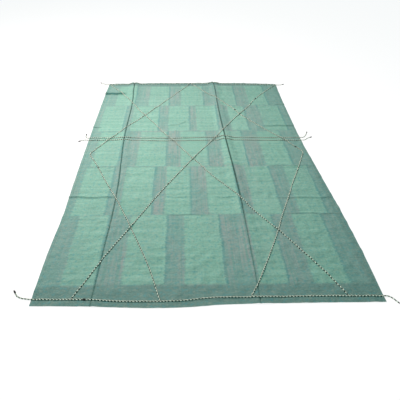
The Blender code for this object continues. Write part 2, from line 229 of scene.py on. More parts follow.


# --------------------------------------
# The cloth's dye and weave: weft-faced cotton with a grey-green ground.  Paler mint blocks are
# woven in five staggered rows, each with a painted shadow line down its right side.

# Rows of blocks: near and far y, and the (left, right) x of each block
BLOCK_ROWS = [
    (0.83, 1.262, [(-0.86, -0.65), (-0.5, -0.28), (-0.15, 0.1), (0.275, 0.455), (0.595, 0.8)]),
    (0.36, 0.802, [(-0.95, -0.72), (-0.645, -0.375), (-0.275, -0.065), (0.005, 0.215), (0.345, 0.515),
                   (0.675, 0.885)]),
    (-0.155, 0.33, [(-0.91, -0.685), (-0.53, -0.28), (-0.155, 0.085), (0.215, 0.42), (0.57, 0.795)]),
    (-0.68, -0.18, [(-0.935, -0.7), (-0.6, -0.365), (-0.27, -0.08), (0.05, 0.28), (0.38, 0.58),
                     (0.705, 0.9)]),
    (-1.21, -0.7, [(-0.865, -0.66), (-0.505, -0.25), (-0.13, 0.115), (0.312, 0.485), (0.635, 0.845)])]
WEAVE_LOW, WEAVE_HIGH = -1.06, 1.06  # the span of x that a row's colour ramp covers
BLOCK_MINT = (0.22, 0.45, 0.35, 1.0)
BLOCK_PALE = (0.264, 0.498, 0.394, 1.0)
GROUND_GREEN = (0.186, 0.364, 0.31, 1.0)
GROUND_ROSE = (0.29, 0.362, 0.332, 1.0)
# painted shadow: the dark line down each block's right side
PAINTED_EDGE_SHADOW = (0.095, 0.3, 0.275, 1.0)
HEM_TEAL = (0.156, 0.282, 0.246, 1.0)
FLECK_BLUE = (0.095, 0.33, 0.34, 1.0)
FLECK_ROSE = (0.4, 0.46, 0.37, 1.0)
# painted shade for the crease valleys and the near sides of the ridges
PAINTED_FOLD_SHADE = (0.017, 0.105, 0.08, 1.0)
BLOCK_EDGE = 0.004  # half width of the change at a block's left side
PALE_END, LINE_PEAK, LINE_END = -0.006, 0.002, 0.014  # in X from a block's right side
ROW_START, ROW_FULL = 0.014, 0.002  # a row of blocks comes in between these distances past its end
WANDER = 0.02  # how far the blocks' sides wander
RAGGED = 0.04  # and how far they differ from one weft thread to the next
# Where each hem's darker dye begins and is full (in Y or X), and its share
HEM_DYES = {"near": (1, -1.205, -1.235, 0.92), "far": (1, 1.262, 1.286, 0.95),
            "left": (0, -0.975, -0.99, 0.1), "right": (0, 0.935, 0.97, 0.6)}
THREAD_PITCH = 0.0026  # from one thread of the weave to the next


def feed(node, inputs):
    """Give each named socket of a node its value, or a link to it."""
    for socket, value in inputs.items():
        if isinstance(value, bpy.types.NodeSocket):
            node.id_data.links.new(value, node.inputs[socket])
        else:
            node.inputs[socket].default_value = value


def add_node(tree, kind, inputs, **settings):
    """Add a shader node: settings are its properties, inputs go to its sockets."""
    made = tree.nodes.new("ShaderNode" + kind)
    for name, value in settings.items():
        setattr(made, name, value)
    feed(made, inputs)
    return made


def reckon(operation, *values):
    """One Math node on sockets or numbers; gives its output socket."""
    tree = next(value.id_data for value in values if isinstance(value, bpy.types.NodeSocket))
    return add_node(tree, "Math", dict(enumerate(values)), operation=operation).outputs[0]


def times(first, second):
    """First times second."""
    return reckon("MULTIPLY", first, second)


def weighted_sum(start, *terms):
    """Start plus value * weight of each (value, weight)."""
    for value, weight in terms:
        start = reckon("MULTIPLY_ADD", value, weight, start)
    return start


def scaled(vector, factor):
    """A vector or a colour times a number."""
    return add_node(vector.id_data, "VectorMath", {0: vector, "Scale": factor}, operation="SCALE").outputs[0]


def bumped(strength, distance, height, **inputs):
    """Bump node on a height; gives the new normal's socket."""
    inputs.update({"Strength": strength, "Distance": distance, "Height": height})
    return add_node(height.id_data, "Bump", inputs).outputs[0]


def blend(factor, first, second):
    """Mix two colours by a factor; gives the mixed colour's socket."""
    return add_node(factor.id_data, "Mix", {0: factor, 6: first, 7: second}, data_type="RGBA").outputs[2]


def grain(place, scale, detail=3.0, roughness=0.55):
    """Noise from 0 to 1 whose grain is 1 / scale metres in X, Y and Z."""
    turned = add_node(place.id_data, "Mapping", {"Vector": place, "Scale": scale}).outputs[0]
    settings = {"Vector": turned, "Scale": 1.0, "Detail": detail, "Roughness": roughness}
    return add_node(place.id_data, "TexNoise", settings).outputs[0]


def sharpened(value, low, high):
    """Smooth ramp from 0 at low to 1 at high."""
    span = {"Value": value, "From Min": low, "From Max": high}
    return add_node(value.id_data, "MapRange", span, interpolation_type="SMOOTHSTEP").outputs[0]


def new_material(name, roughness):
    """A material with a Principled shader; gives the material, its tree and the shader."""
    material = bpy.data.materials.new(name)
    material.use_nodes = True
    shader = material.node_tree.nodes["Principled BSDF"]
    shader.inputs["Roughness"].default_value = roughness
    return material, material.node_tree, shader


def block_ramp(across, blocks):
    """Colour ramp over x for one row: red is the block, green the painted shadow line beside it.

    Blue rises from 0 at the block's left side to 1 at its right side, where its pale strip is.
    """
    stops = []
    for left, right in blocks:
        stops += [(left - BLOCK_EDGE, (0, 0, 0, 1)), (left + BLOCK_EDGE, (1, 0, 0, 1)),
                  (right + PALE_END, (1, 0, 1, 1)), (right + LINE_PEAK, (0, 1, 0, 1)),
                  (right + LINE_END, (0, 0, 0, 1))]
    ramp = add_node(across.id_data, "ValToRGB", {0: across})
    elements = ramp.color_ramp.elements
    for index, (x, colour) in enumerate(stops):
        share = (x - WEAVE_LOW) / (WEAVE_HIGH - WEAVE_LOW)
        stop = elements[index] if index == 0 else elements.new(share)
        stop.position = share
        stop.color = colour
    elements.remove(elements[len(elements) - 1])
    return ramp.outputs[0]


def dye_cloth():
    """The woven cloth's material, patterned by where each point of it lay when it was flat."""
    material, tree, shader = new_material("woven_mint_cloth", 0.88)
    place = add_node(tree, "Attribute", {}, attribute_name="flat_place").outputs["Vector"]
    fold = add_node(tree, "Attribute", {}, attribute_name="fold").outputs["Fac"]
    weft = grain(place, (3.0, 150.0, 1.0), 2.0)
    warp = grain(place, (70.0, 2.2, 1.0), 2.0)
    slub = grain(place, (1.2, 34.0, 1.0), 2.0)
    cloud = grain(place, (3.2, 2.6, 1.0), 4.0)
    speck = grain(place, (95.0, 120.0, 1.0), 2.0)
    fleck = grain(place, (46.0, 62.0, 1.0), 3.0, 0.6)
    wrinkle = grain(place, (19.0, 26.0, 1.0), 4.0, 0.58)

    # The blocks: their sides wander, and are ragged from thread to thread
    wander = add_node(tree, "TexNoise", {"Vector": place, "Scale": 7.0, "Detail": 3.0}).outputs[1]
    wander = add_node(tree, "VectorMath", {0: wander, 1: (0.5, 0.5, 0.5)}, operation="SUBTRACT").outputs[0]
    woven = add_node(tree, "VectorMath", {0: place, 1: scaled(wander, WANDER)}, operation="ADD")
    spot = add_node(tree, "SeparateXYZ", {0: woven.outputs[0]})
    ragged = times(reckon("SUBTRACT", weft, 0.5), RAGGED)
    x, y = reckon("ADD", spot.outputs[0], ragged), spot.outputs[1]
    span = {"Value": x, "From Min": WEAVE_LOW, "From Max": WEAVE_HIGH}
    across = add_node(tree, "MapRange", span).outputs[0]
    pattern = (0.0, 0.0, 0.0, 1.0)
    for near, far, blocks in BLOCK_ROWS:
        inside = times(sharpened(y, near - ROW_START, near - ROW_FULL),
                       sharpened(y, far + ROW_START, far + ROW_FULL))
        pattern = blend(inside, pattern, block_ramp(across, blocks))
    block, line, strip = add_node(tree, "SeparateColor", {0: pattern}).outputs

    # The ground turns rosier to the middle; the blocks have paler slubs, and thin out in places
    rose = times(sharpened(cloud, 0.28, 0.58), sharpened(warp, 0.25, 0.7))
    middle = sharpened(reckon("ABSOLUTE", x), 0.8, 0.4)
    rose = times(rose, weighted_sum(0.4, (middle, 0.6)))
    ground = blend(rose, GROUND_GREEN, GROUND_ROSE)
    mint = blend(sharpened(slub, 0.35, 0.7), BLOCK_MINT, BLOCK_PALE)
    mint = blend(times(sharpened(strip, 0.84, 1.0), 0.4), mint, BLOCK_PALE)
    thin = times(sharpened(cloud, 0.42, 0.75), 0.3)
    shown = times(block, reckon("SUBTRACT", 1.0, thin))
    toward_far = add_node(tree, "MapRange", {"Value": y, "From Min": -0.9, "From Max": 1.2, "To Max": 0.3})
    faded = times(toward_far.outputs[0], sharpened(slub, 0.2, 0.7))
    colour = blend(reckon("MAXIMUM", shown, faded), ground, mint)
    # painted shadow line down each block's right side
    colour = blend(times(line, 0.8), colour, PAINTED_EDGE_SHADOW)

    # Over that the hems' darker dye, the painted shade in the folds and the flecks
    flat = add_node(tree, "SeparateXYZ", {0: place}).outputs
    hem = 0.0
    for axis, begin, full, share in HEM_DYES.values():
        hem = reckon("MAXIMUM", hem, times(sharpened(flat[axis], begin, full), share))
    colour = blend(hem, colour, HEM_TEAL)
    # painted shade in the crease valleys and on the ridges' near sides
    colour = blend(fold, colour, PAINTED_FOLD_SHADE)
    blue, rosy = sharpened(fleck, 0.52, 0.68), sharpened(fleck, 0.48, 0.32)
    colour = blend(times(blue, 0.55), colour, FLECK_BLUE)
    colour = blend(times(rosy, 0.26), colour, FLECK_ROSE)
    thick_weft, thick_warp = sharpened(weft, 0.62, 0.72), sharpened(warp, 0.62, 0.72)
    shade = weighted_sum(0.535, (weft, 0.26), (speck, 0.38), (slub, 0.14), (warp, 0.2),
                         (thick_weft, -0.1), (thick_warp, -0.07))

    # Relief: threads over and under each other, then the wrinkles that are too small for the mesh
    threads = add_node(tree, "SeparateXYZ", {0: scaled(place, 2.0 * math.pi / THREAD_PITCH)}).outputs
    over = times(reckon("SINE", threads[0]), reckon("SINE", threads[1]))
    weave = weighted_sum(weft, (over, 0.2), (speck, 0.6), (slub, 0.8))
    relief = bumped(0.8, 0.0115, wrinkle, Normal=bumped(0.45, 0.0012, weave))
    feed(shader, {"Base Color": scaled(colour, shade), "Normal": relief, "Sheen Weight": 0.12,
                  "Sheen Roughness": 0.45, "Specular IOR Level": 0.25})
    return material


# --------------------------------------
# The cloth itself: one width of cloth, parted between the creases.  Each part is a closed shell, its
# underside straight below its upper face.
CLOTH_LENGTH = 2.69
LEFT_WIDTH, MIDDLE_WIDTH, RIGHT_WIDTH = 0.34, 0.77, 0.71  # side to crease, seam to seam, crease to side
FLAT_STEP = 0.0092  # of the cloth's grid where it lies flat
CREASE_STEP = 0.0019  # at a crease
RIDGE_STEP = 1.8 * CREASE_STEP
HEM_STEP = 0.003  # and at a hem
STEP_GROWTH = 0.16  # how fast the steps grow away from a fine place
# Places along the cloth, from its near end, where crosswise ridges need fine rows, and their reach
RIDGE_ROWS = [(0.655, 0.01), (0.82, 0.014), (1.178, 0.01), (1.768, 0.012), (2.176, 0.008), (2.443, 0.012)]
LEFT_SHADE_WIDTH, RIGHT_SHADE_WIDTH = 0.006, 0.0074  # of the painted shade line in each crease
RIDGE_SHADE_PLACE, RIDGE_SHADE_WIDTH = 0.4, 0.36  # painted shade on the near side of a ridge, in shares of its half width
LEFT_CREASE_SHADE = [(-1.36, 0.4), (-0.6, 0.8), (-0.1, 0.92), (0.6, 0.92), (1.36, 0.85)]  # (y, strength) of the painted shade in the left crease
RIGHT_CREASE_SHADE = [(-1.36, 0.2), (-0.8, 0.4), (-0.45, 0.92), (0.2, 0.95), (0.6, 0.85), (1.36, 0.55)]
SEAM_AFTER_LEFT = 0.075  # the left part of the cloth ends this far past the left hinge
SEAM_BEFORE_RIGHT = -0.095  # and the right part begins this far before the right hinge
HINGES = {joint["name"]: joint for joint in frame["joints"]}


def hinge_x(name, y):
    """X of a hinge's axis at each y: the axis is straight, through its position along its direction."""
    place, axis = HINGES[name]["pos_m"], HINGES[name]["axis"]
    return place[0] + (y - place[1]) * axis[0] / axis[1]


def stations(width, fine_places):
    """Shares from 0 to 1 whose spacing is fine near each (place, spacing, half width), coarse elsewhere."""
    place = np.linspace(0.0, width, 4000)
    spacing = np.full_like(place, FLAT_STEP)
    for middle, fine, half_width in fine_places:
        grown = fine + STEP_GROWTH * np.clip(np.abs(place - middle) - half_width, 0.0, None)
        spacing = np.minimum(spacing, grown)
    count = np.concatenate([[0.0], np.cumsum((place[1:] - place[:-1]) / spacing[1:])])
    steps = round(count[-1])
    return np.interp(np.linspace(0.0, count[-1], steps + 1), count, place) / width


def grid_quads(rows, columns, first=0):
    """Corner numbers of each face of a grid of rows x columns points, first corner (row, column)."""
    row, column = np.meshgrid(np.arange(rows - 1), np.arange(columns - 1), indexing="ij")
    corner = (first + row * columns + column).ravel()
    return np.column_stack([corner, corner + 1, corner + columns + 1, corner + columns])


def new_piece(name, points, faces, materials):
    """A mesh object from an array of points and a list of faces, at the origin."""
    mesh = bpy.data.meshes.new(name)
    mesh.from_pydata(points.tolist(), [], [list(face) for face in faces])
    for material in materials:
        mesh.materials.append(material)
    mesh.shade_smooth()
    item = bpy.data.objects.new(name, mesh)
    bpy.context.scene.collection.objects.link(item)
    return item


def set_attribute(item, name, values):
    """Store one number or one vector for each point of a piece."""
    kind, field = ("FLOAT", "value") if values.ndim == 1 else ("FLOAT_VECTOR", "vector")
    attribute = item.data.attributes.new(name, kind, "POINT")
    attribute.data.foreach_set(field, values.astype(np.float32).ravel())


def painted_fold_shade(x, y):
    """Painted shade: bell curves over the distance to each crease, and to each ridge's near side."""
    left = np.exp(-((x - read_off(LEFT_CREASE["line"], y)) / LEFT_SHADE_WIDTH) ** 2)
    right = np.exp(-((x - read_off(RIGHT_CREASE["line"], y)) / RIGHT_SHADE_WIDTH) ** 2)
    darkness = left * read_off(LEFT_CREASE_SHADE, y) + right * read_off(RIGHT_CREASE_SHADE, y)
    for start, end, _, half_width, near_shade in RIDGES:
        offset, fade = along_ridge(start, end, x, y)
        off = (offset / half_width + RIDGE_SHADE_PLACE) / RIDGE_SHADE_WIDTH
        darkness = np.maximum(darkness, near_shade * fade * np.exp(-off ** 2))
    return darkness


hem_rows = [(place, HEM_STEP, 0.006) for place in (0.0, END_HEM, CLOTH_LENGTH - END_HEM, CLOTH_LENGTH)]
ridge_rows = [(place, RIDGE_STEP, reach) for place, reach in RIDGE_ROWS]
ROW_STATIONS = stations(CLOTH_LENGTH, hem_rows + ridge_rows)


def weave_part(name, lines, strip_stations, material):
    """One part of the cloth: rows of points between lines, upper face, underside and a closed rim."""
    along = ROW_STATIONS[:, None]
    y_guess = CLOTH_LENGTH * (along - 0.5)
    columns = []
    for left, right, shares in zip(lines, lines[1:], strip_stations):
        start, end = left(y_guess), right(y_guess)
        columns.append(start + (end - start) * shares[None, :])
    x = np.hstack([columns[0]] + [strip[:, 1:] for strip in columns[1:]])
    y = (1.0 - along) * read_off(NEAR_EDGE, x) + along * read_off(FAR_EDGE, x)
    rows, wide = x.shape
    points = np.vstack([np.stack([x, y, height(x, y)], axis=-1).reshape(-1, 3)
                        for height in (cloth_top, cloth_bottom)])
    count = rows * wide
    upper = grid_quads(rows, wide)
    lower = grid_quads(rows, wide, count)[:, ::-1]
    number = np.arange(count).reshape(rows, wide)
    rim = np.concatenate([number[0, :], number[1:, -1], number[-1, -2::-1], number[-2:0:-1, 0]])
    after = np.roll(rim, -1)
    walls = np.column_stack([rim + count, after + count, after, rim])
    item = new_piece(name, points, np.vstack([upper, lower, walls]).tolist(), [material])
    item.data.set_sharp_from_angle(angle=math.radians(50))
    set_attribute(item, "flat_place", points * (1.0, 1.0, 0.0))
    # painted shade for the crease valleys and the ridges' near sides, kept on the cloth for its material
    set_attribute(item, "fold", painted_fold_shade(points[:, 0], points[:, 1]))
    return item


def blend_over(item, hinge, before, after, first_body, second_body):
    """Bake a piece's transform into its mesh.

    Not used: the hinge, before and after (distances in x from the hinge's axis), and the two bodies.
    """
    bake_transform(item)


LEFT_BEND = ("left_fold", -0.03, 0.03, "left_panel", "middle_panel")
RIGHT_BEND = ("right_fold", -0.048, 0.048, "middle_panel", "right_panel")

cloth_material = dye_cloth()
left_side, right_side = (lambda y: read_off(LEFT_EDGE, y)), (lambda y: read_off(RIGHT_EDGE, y))
left_valley = lambda y: read_off(LEFT_CREASE["line"], y)
right_valley = lambda y: read_off(RIGHT_CREASE["line"], y)
left_seam = lambda y: hinge_x("left_fold", y) + SEAM_AFTER_LEFT
right_seam = lambda y: hinge_x("right_fold", y) + SEAM_BEFORE_RIGHT
at_start = (0.0, CREASE_STEP, CREST)
left_cloth = weave_part(
    "cloth_left_part", [left_side, left_valley, left_seam],
    [stations(LEFT_WIDTH, [(0.0, HEM_STEP, 0.004), (SIDE_HEM, HEM_STEP, 0.004),
                           (LEFT_WIDTH, CREASE_STEP, CREST)]),
     stations(SEAM_AFTER_LEFT, [at_start])], cloth_material)
middle_cloth = weave_part("cloth_middle_part", [left_seam, right_seam], [stations(MIDDLE_WIDTH, [])],
                          cloth_material)
right_cloth = weave_part(
    "cloth_right_part", [right_seam, right_valley, right_side],
    [stations(-SEAM_BEFORE_RIGHT, [(-SEAM_BEFORE_RIGHT, CREASE_STEP, CREST)]),
     stations(RIGHT_WIDTH, [at_start, (RIGHT_WIDTH - SIDE_HEM, HEM_STEP, 0.004),
                            (RIGHT_WIDTH, HEM_STEP, 0.004)])], cloth_material)
blend_over(left_cloth, *LEFT_BEND)
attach(middle_cloth, "middle_panel")
blend_over(right_cloth, *RIGHT_BEND)
for part, node, width in ((left_cloth, "cloth_left", 0.41), (middle_cloth, "cloth_middle", 0.77),
                          (right_cloth, "cloth_right", 0.802)):
    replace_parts(part, node)

# --------------------------------------
# The sewn cords: round four-strand braid of black and off-white cotton, laid on the cloth and
# stitched down.  Where two cords cross, one hops over the other.
CORD_DIAMETER = 0.0085
CORD_RADIUS = CORD_DIAMETER / 2
CORD_SINK = 0.0012  # how far a cord presses into the cloth
PRESSED = 0.8  # a sewn cord's height as a share of its width
BRAID_PITCH = 0.0189  # length of one full turn of a strand
STRAND_RADII = (0.00208, 0.00195)  # off-white and black
STRAND_PLACE = 0.0021  # a strand's middle from the cord's middle
STRAND_WEAVE = 0.00045  # and how far it rises and falls as it passes over and under
STRAND_SIDES = 6
RINGS_PER_PITCH = 8
CORD_SPAN = 0.006  # a cord lies on the highest cloth within this distance along it
CORD_EASE = 0.008  # and its height is averaged over this
HOP_HEIGHT = 0.0066  # where it crosses over another cord, flat for HOP_FLAT and down at HOP_REACH
HOP_FLAT = 0.011
HOP_REACH = 0.05
HALF_WAY = -0.2  # the crosswise cords are parted at this x, between the two creases
# Angle round a cord at which strands of one colour cross
CROSS_FACING = 0.25 * math.pi
LONG_FACING = {"diagonal_a": 0.7 * math.pi, "diagonal_b": 0.25 * math.pi,
               "left_chevron": 0.25 * math.pi, "right_chevron": 0.7 * math.pi}

# Crosswise cords: the left tail from its end to the cloth, the sewn route, and the right tail
CROSS_CORDS = {
    "near_cord": (
        [(-1.106, -1.256), (-1.088, -1.276), (-1.06, -1.288), (-1.03, -1.293), (-1.006, -1.296)],
        [(-0.99, -1.296), (-0.8, -1.299), (-0.65, -1.303), (-0.5, -1.312), (-0.3, -1.315), (-0.15, -1.312),
         (0.03, -1.296), (0.3, -1.297), (0.65, -1.294), (0.988, -1.298)],
        [(1.009, -1.299), (1.027, -1.301), (1.046, -1.312), (1.063, -1.334), (1.084, -1.352),
         (1.108, -1.36)]),
    "far_cord": (
        [(-1.103, 1.359), (-1.08, 1.343), (-1.055, 1.329), (-1.03, 1.318), (-1.008, 1.313)],
        [(-0.99, 1.312), (-0.6, 1.322), (-0.1, 1.326), (0.25, 1.323), (0.6, 1.308), (0.972, 1.282)],
        [(0.99, 1.281), (1.01, 1.281), (1.03, 1.284), (1.048, 1.29), (1.066, 1.298)]),
    "waist_far_cord": (
        [(-1.045, 0.288), (-1.044, 0.266), (-1.038, 0.25), (-1.026, 0.242), (-1.012, 0.24)],
        [(-0.992, 0.24), (-0.8, 0.241), (-0.6, 0.242), (-0.4, 0.233), (-0.22, 0.228), (0.0, 0.236),
         (0.2, 0.237), (0.4, 0.235), (0.7, 0.229), (0.952, 0.225)],
        [(0.97, 0.225), (0.99, 0.228), (1.012, 0.243), (1.032, 0.27), (1.05, 0.304)]),
    "waist_near_cord": (
        [(-1.082, 0.196), (-1.064, 0.205), (-1.046, 0.21), (-1.028, 0.209), (-1.012, 0.206)],
        [(-0.992, 0.206), (-0.75, 0.206), (-0.55, 0.201), (-0.3, 0.191), (0.0, 0.191), (0.2, 0.195),
         (0.4, 0.195), (0.7, 0.187), (0.952, 0.185)],
        [(0.97, 0.185), (0.99, 0.187), (1.012, 0.2), (1.036, 0.219), (1.062, 0.23)])}

# Long cords: the route, where it hops over another, and its pieces in order: the ends of the names of
# the CAD nodes that each replaces, and its bend
LONG_CORDS = {
    "diagonal_a": (
        [(0.962, 1.275), (0.952, 1.262), (0.8, 1.105), (0.67, 0.95), (0.57, 0.795), (0.45, 0.64),
         (0.35, 0.505), (0.27, 0.37), (0.15, 0.205), (0.0, 0.003), (-0.15, -0.22), (-0.3, -0.45),
         (-0.4, -0.62), (-0.5, -0.795), (-0.6, -0.965), (-0.7, -1.155), (-0.77, -1.285), (-0.776, -1.296)],
        [(0.172, 0.236), (0.141, 0.193), (0.456, 0.648), (-0.043, -0.055), (-0.5, -0.795)],
        [("right middle", RIGHT_BEND), ("left", LEFT_BEND)]),
    "diagonal_b": (
        [(-0.977, 1.302), (-0.968, 1.288), (-0.85, 1.14), (-0.75, 1.0), (-0.62, 0.785), (-0.5, 0.605),
         (-0.4, 0.46), (-0.31, 0.31), (-0.2, 0.16), (-0.1, 0.01), (0.0, -0.13), (0.1, -0.28),
         (0.25, -0.465), (0.36, -0.635), (0.51, -0.83), (0.62, -0.99), (0.73, -1.16), (0.795, -1.28),
         (0.802, -1.291)],
        [(-0.251, 0.229), (-0.223, 0.191), (-0.522, 0.638), (0.51, -0.83)],
        [("left middle", LEFT_BEND), ("right", RIGHT_BEND)]),
    "left_chevron": (
        [(-0.045, 1.319), (-0.052, 1.309), (-0.13, 1.19), (-0.27, 0.99), (-0.4, 0.8), (-0.52, 0.63),
         (-0.66, 0.44), (-0.8, 0.24), (-0.87, 0.135), (-0.925, 0.05), (-0.945, 0.003), (-0.925, -0.04),
         (-0.86, -0.145), (-0.8, -0.255), (-0.72, -0.395), (-0.64, -0.53), (-0.54, -0.715), (-0.5, -0.795),
         (-0.45, -0.895), (-0.35, -1.105), (-0.278, -1.296), (-0.273, -1.309)],
        [(-0.8, 0.241), (-0.824, 0.206)],
        [("far side near", LEFT_BEND)]),
    "right_chevron": (
        [(-0.025, 1.319), (-0.018, 1.31), (0.06, 1.215), (0.16, 1.08), (0.28, 0.92), (0.4, 0.765),
         (0.46, 0.645), (0.52, 0.56), (0.63, 0.415), (0.76, 0.255), (0.85, 0.135), (0.905, 0.06),
         (0.925, 0.01), (0.905, -0.04), (0.84, -0.17), (0.8, -0.25), (0.74, -0.36), (0.66, -0.525),
         (0.57, -0.7), (0.51, -0.83), (0.44, -0.965), (0.36, -1.11), (0.3, -1.215), (0.254, -1.281),
         (0.249, -1.291)],
        [(0.778, 0.227), (0.808, 0.187)],
        [("far side near", RIGHT_BEND)])}


def dye_strand(name, colour, fleck):
    """Material of a braided strand: cotton fibres that run along the strand, with a little fuzz."""
    material, tree, shader = new_material(name, 0.9)
    along = add_node(tree, "Attribute", {}, attribute_name="strand_place").outputs["Vector"]
    fibre = grain(along, (420.0, 9.0, 1.0), 2.0)
    wear = grain(along, (26.0, 1.0, 1.0), 2.0)
    mixed = blend(sharpened(fibre, 0.3, 0.75), colour, fleck)
    mixed = blend(times(sharpened(wear, 0.45, 0.8), 0.35), mixed, fleck)
    feed(shader, {"Base Color": mixed, "Normal": bumped(0.5, 0.0004, fibre),
                  "Sheen Weight": 0.15, "Specular IOR Level": 0.2})
    return material


def evenly_spaced(line, spacing):
    """The same line with its points about one spacing apart."""
    distance = np.concatenate([[0.0], np.cumsum(np.linalg.norm(np.diff(line, axis=0), axis=1))])
    places = np.linspace(0.0, distance[-1], round(distance[-1] / spacing) + 1)
    return np.column_stack([np.interp(places, distance, line[:, axis]) for axis in range(line.shape[1])])


def laid_heights(line, spacing, hops):
    """Height of a cord's middle: on the highest cloth near it, eased along it, plus its hops."""
    under = cloth_top(line[:, 0], line[:, 1])
    reach = round(CORD_SPAN / spacing)
    padded = np.pad(under, reach, mode="edge")
    highest = np.max(np.lib.stride_tricks.sliding_window_view(padded, 2 * reach + 1), axis=1)
    ease = round(CORD_EASE / spacing)
    bell = np.hanning(2 * ease + 3)[1:-1]
    eased = np.convolve(np.pad(highest, ease, mode="edge"), bell / bell.sum(), mode="valid")
    lift = np.zeros(len(line))
    for hop_x, hop_y in hops:
        gap = np.hypot(line[:, 0] - hop_x, line[:, 1] - hop_y)
        lift = np.maximum(lift, smooth_step((HOP_REACH - gap) / (HOP_REACH - HOP_FLAT)))
    return eased + PRESSED * CORD_RADIUS - CORD_SINK + HOP_HEIGHT * lift


def units(vectors):
    """Each vector divided by its length."""
    return vectors / np.linalg.norm(vectors, axis=1)[:, None]


def path_frames(line):
    """Direction, upward and sideways unit vectors at each point of a path that lies nearly flat."""
    direction = units(np.gradient(line, axis=0))
    sideways = units(np.cross(direction, (0.0, 0.0, 1.0)))
    return direction, np.cross(sideways, direction), sideways


def tube_rings(line, radius, sides, out=None):
    """Rings of points round a path: radius * (cos, sin) square to it, the sine towards out or Z."""
    direction = units(np.gradient(line, axis=0))
    first = units(np.cross(direction, (0.0, 0.0, 1.0) if out is None else out))
    second = np.cross(direction, first)
    turn = np.arange(sides)[None, :, None] * 2.0 * np.pi / sides
    radius = np.broadcast_to(radius, len(line))[:, None, None]
    return line[:, None, :] + radius * (np.cos(turn) * first[:, None, :] + np.sin(turn) * second[:, None, :])


def tube_faces(rings, sides, first=0):
    """Faces of a closed tube of rings: quads along it and one polygon over each end."""
    ring, side = np.meshgrid(np.arange(rings - 1), np.arange(sides), indexing="ij")
    after = (side + 1) % sides
    a = (first + ring * sides + side).ravel()
    b = (first + ring * sides + after).ravel()
    quads = np.column_stack([a, b, b + sides, a + sides]).tolist()
    last = first + (rings - 1) * sides
    return quads + [list(range(first + sides - 1, first - 1, -1)), list(range(last, last + sides))]


def make_braid(name, line, start, facing):
    """Braid along a path: two strands turn each way round it, and rise and fall where they cross.

    Each strand's middle is at angle facing + 2 pi s / pitch, clockwise or not, and at the place radius
    plus or minus the weave times cos(4 pi s / pitch); s is the length along the cord from its end.
    """
    direction, upward, sideways = path_frames(line)
    step = np.linalg.norm(np.diff(line, axis=0), axis=1)
    along = start + np.concatenate([[0.0], np.cumsum(step)])
    turned = 2.0 * np.pi * along / BRAID_PITCH
    points, faces, places, black = [], [], [], []
    for strand in range(4):
        turning = 1.0 if strand < 2 else -1.0
        angle = facing + turning * turned + np.pi * (strand % 2)
        place = STRAND_PLACE + turning * STRAND_WEAVE * np.cos(2.0 * turned)
        out = np.cos(angle)[:, None] * sideways + PRESSED * np.sin(angle)[:, None] * upward
        rings = tube_rings(line + place[:, None] * out, STRAND_RADII[strand % 2], STRAND_SIDES, out)
        made = tube_faces(len(line), STRAND_SIDES, strand * len(line) * STRAND_SIDES)
        points.append(rings.reshape(-1, 3))
        faces += made
        black += [strand % 2] * len(made)
        side = np.tile(np.arange(STRAND_SIDES) + 10.0 * strand, len(line))
        places.append(np.column_stack([np.repeat(along, STRAND_SIDES), side, 0.0 * side]))
    item = new_piece(name, np.vstack(points), faces, [white_strand, black_strand])
    item.data.polygons.foreach_set("material_index", np.array(black, dtype=np.int32))
    set_attribute(item, "strand_place", np.vstack(places))
    return item


def sewn_braid(name, line, first, last, facing, bend, nodes):
    """Braid of a sewn cord from its point first to its point last."""
    braid = make_braid(name, line[first:last + 1], first * RING_SPACING, facing)
    blend_over(braid, *bend)
    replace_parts(braid, *nodes)


def nearest(values, wanted):
    """Number of the value that is nearest to the wanted one."""
    return int(np.argmin(np.abs(values - wanted)))


white_strand = dye_strand("off_white_cotton_strand", (0.81, 0.93, 0.74, 1.0), (0.88, 0.97, 0.84, 1.0))
black_strand = dye_strand("black_cotton_strand", (0.012, 0.024, 0.02, 1.0), (0.05, 0.08, 0.066, 1.0))
RING_SPACING = BRAID_PITCH / RINGS_PER_PITCH
TAIL_FALL = 0.035  # a tail is down on the ground this far past the cloth
TAIL_GROUND = 0.0052  # height of a tail's middle on the ground
tail_lines, cord_lines = {}, {}
for name, (left_tail, sewn, right_tail) in CROSS_CORDS.items():
    plan = evenly_spaced(smooth_curve(left_tail + sewn + right_tail, 24), RING_SPACING)
    heights = laid_heights(plan, RING_SPACING, [])
    past = np.maximum(left_tail[-1][0] - plan[:, 0], plan[:, 0] - right_tail[0][0])
    heights += (TAIL_GROUND - heights) * smooth_step(past / TAIL_FALL)
    line = np.column_stack([plan, heights])
    off_left, off_right = nearest(plan[:, 0], left_tail[-1][0]), nearest(plan[:, 0], right_tail[0][0])
    parting = nearest(plan[:, 0], HALF_WAY)
    sewn_braid(name + "_left_half", line, off_left, parting, CROSS_FACING, LEFT_BEND,
               [name + "_left", name + "_middle"])
    sewn_braid(name + "_right_half", line, parting, off_right, CROSS_FACING, RIGHT_BEND, [name + "_right"])
    cord_lines[name] = line[off_left:off_right + 1]
    short = name.replace("_cord", "")
    tail_lines["tail_" + short + "_left"] = (line[:off_left + 1], 0.0)
    tail_lines["tail_" + short + "_right"] = (line[off_right:], off_right * RING_SPACING)

for name, (route, hops, stretches) in LONG_CORDS.items():
    plan = evenly_spaced(smooth_curve(route, 24), RING_SPACING)
    line = np.column_stack([plan, laid_heights(plan, RING_SPACING, hops)])
    cord_lines[name] = line
    parted = len(stretches) > 1
    cuts = [0] + [nearest(plan[:, 0], HALF_WAY)] * parted + [len(plan) - 1]
    for first, last, (parts, bend) in zip(cuts, cuts[1:], stretches):
        nodes = [name + "_" + part for part in parts.split()]
        part_name = nodes[0] + "_half" if parted else name + "_braid"
        sewn_braid(part_name, line, first, last, LONG_FACING[name], bend, nodes)

